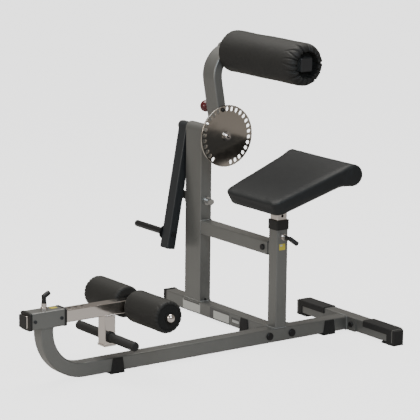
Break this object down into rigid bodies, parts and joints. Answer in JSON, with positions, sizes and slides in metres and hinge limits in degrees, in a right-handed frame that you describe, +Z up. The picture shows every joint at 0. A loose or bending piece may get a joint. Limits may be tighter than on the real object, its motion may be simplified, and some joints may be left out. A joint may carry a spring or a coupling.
{
  "type": "roman chair",
  "caption": "Ab and back machine: padded lever roller with slotted setting disc and plate horn, tilted height-adjustable seat, sliding foot-roller carriage on a floor frame.",
  "frame": {"origin": "on the floor, under the middle of the machine's box", "axes": "+X along the main rail towards the rear stabilizer, +Y towards the upright that carries the lever, +Z up"},
  "size_m": [1.46, 1.1, 1.1114],
  "materials": {
    "frame_paint": "satin warm grey powder coat",
    "black_paint": "satin black powder coat",
    "chrome": "bright chrome plate",
    "steel": "zinc-plated steel",
    "rubber": "moulded black rubber",
    "black_plastic": "moulded black plastic",
    "red_plastic": "glossy dark red",
    "foam": "closed-cell foam, matte",
    "vinyl": "black upholstery vinyl, satin",
    "cover": "black coated fabric cover",
    "wood": "plywood",
    "nylon": "natural nylon"
  },
  "bodies": {
    "frame": {"main_rail": "frame_paint", "rear_stabilizer": "frame_paint", "flange_plates": "frame_paint", "frame_bolts": "black_paint", "stabilizer_boots": "rubber", "lower_cross_tube": "frame_paint", "lower_cross_cap": "black_plastic", "rubber_feet": "rubber", "upright": "frame_paint", "pivot_housing": "frame_paint", "housing_bushings": "nylon", "mid_cross_tube": "frame_paint", "seat_post": "frame_paint", "seat_post_collar": "black_plastic", "stop_bolt": "steel", "stop_plate": "frame_paint", "rubber_stop": "rubber", "foot_collar": "frame_paint", "collar_bushings": "black_plastic", "collar_screws": "black_paint", "foot_pin_barrel": "chrome", "foot_pin_spring": "steel", "seat_pin_barrel": "chrome", "seat_pin_spring": "steel"},
    "foot_carriage": {"foot_slide_tube": "chrome", "drop_tube": "chrome", "drop_tube_foot": "chrome", "carriage_caps": "black_plastic", "foot_bar": "steel", "foot_grips": "rubber", "roller_axle": "steel", "roller_caps": "chrome"},
    "roller_left": {"foam_roller_left": "foam", "roller_core_left": "black_plastic"},
    "roller_right": {"foam_roller_right": "foam", "roller_core_right": "black_plastic"},
    "foot_pin": {"foot_pin_plunger": "steel", "foot_pin_handle": "black_plastic"},
    "seat": {"seat_stem": "chrome", "seat_bracket": "frame_paint", "seat_board": "wood", "seat_pad": "vinyl", "seat_bolts": "steel"},
    "seat_pin": {"seat_pin_plunger": "steel", "seat_pin_handle": "black_plastic"},
    "swing": {"pivot_axle": "steel", "spacer_sleeve": "steel", "selector_disc": "chrome", "axle_bolts": "chrome", "weight_arm": "black_paint", "weight_horn": "chrome"},
    "lever": {"upper_arm": "frame_paint", "arm_bushings": "nylon", "bolster_tube": "frame_paint", "bolster_plug": "black_plastic", "bolster_pad": "cover", "arm_pin_barrel": "chrome", "arm_pin_spring": "steel"},
    "arm_pin": {"arm_pin_plunger": "steel", "arm_pin_knob": "red_plastic"}
  },
  "joints": [
    {"name": "foot_slide", "type": "slide", "parent": "frame", "child": "foot_carriage", "axis": [1, 0, 0], "range_m": [-0.1524, 0]},
    {"name": "roller_left_spin", "type": "hinge", "parent": "foot_carriage", "child": "roller_left", "pos_m": [-0.285, -0.133, 0.233], "axis": [0, 1, 0], "continuous": true},
    {"name": "roller_right_spin", "type": "hinge", "parent": "foot_carriage", "child": "roller_right", "pos_m": [-0.285, -0.389, 0.233], "axis": [0, 1, 0], "continuous": true},
    {"name": "foot_pin_pull", "type": "slide", "parent": "frame", "child": "foot_pin", "axis": [0, 0, 1], "range_m": [0, 0.008], "stiffness_N_per_m": 1500, "springref_m": -0.003, "deforming": ["foot_pin_spring"]},
    {"name": "seat_height", "type": "slide", "parent": "frame", "child": "seat", "axis": [0, 0, 1], "range_m": [-0.0508, 0.0508]},
    {"name": "seat_pin_pull", "type": "slide", "parent": "frame", "child": "seat_pin", "axis": [0, -1, 0], "range_m": [0, 0.008], "stiffness_N_per_m": 1500, "springref_m": -0.003, "deforming": ["seat_pin_spring"]},
    {"name": "lever_swing", "type": "hinge", "parent": "frame", "child": "swing", "pos_m": [0.353, 0.189, 0.718], "axis": [0, 1, 0], "range_deg": [0, 60]},
    {"name": "lever_setting", "type": "hinge", "parent": "swing", "child": "lever", "pos_m": [0.353, 0.108, 0.718], "axis": [0, 1, 0], "range_deg": [-72, 0]},
    {"name": "lever_pin_pull", "type": "slide", "parent": "lever", "child": "arm_pin", "axis": [0, 1, 0], "range_m": [0, 0.012], "stiffness_N_per_m": 1200, "springref_m": -0.005, "deforming": ["arm_pin_spring"]}
  ]
}
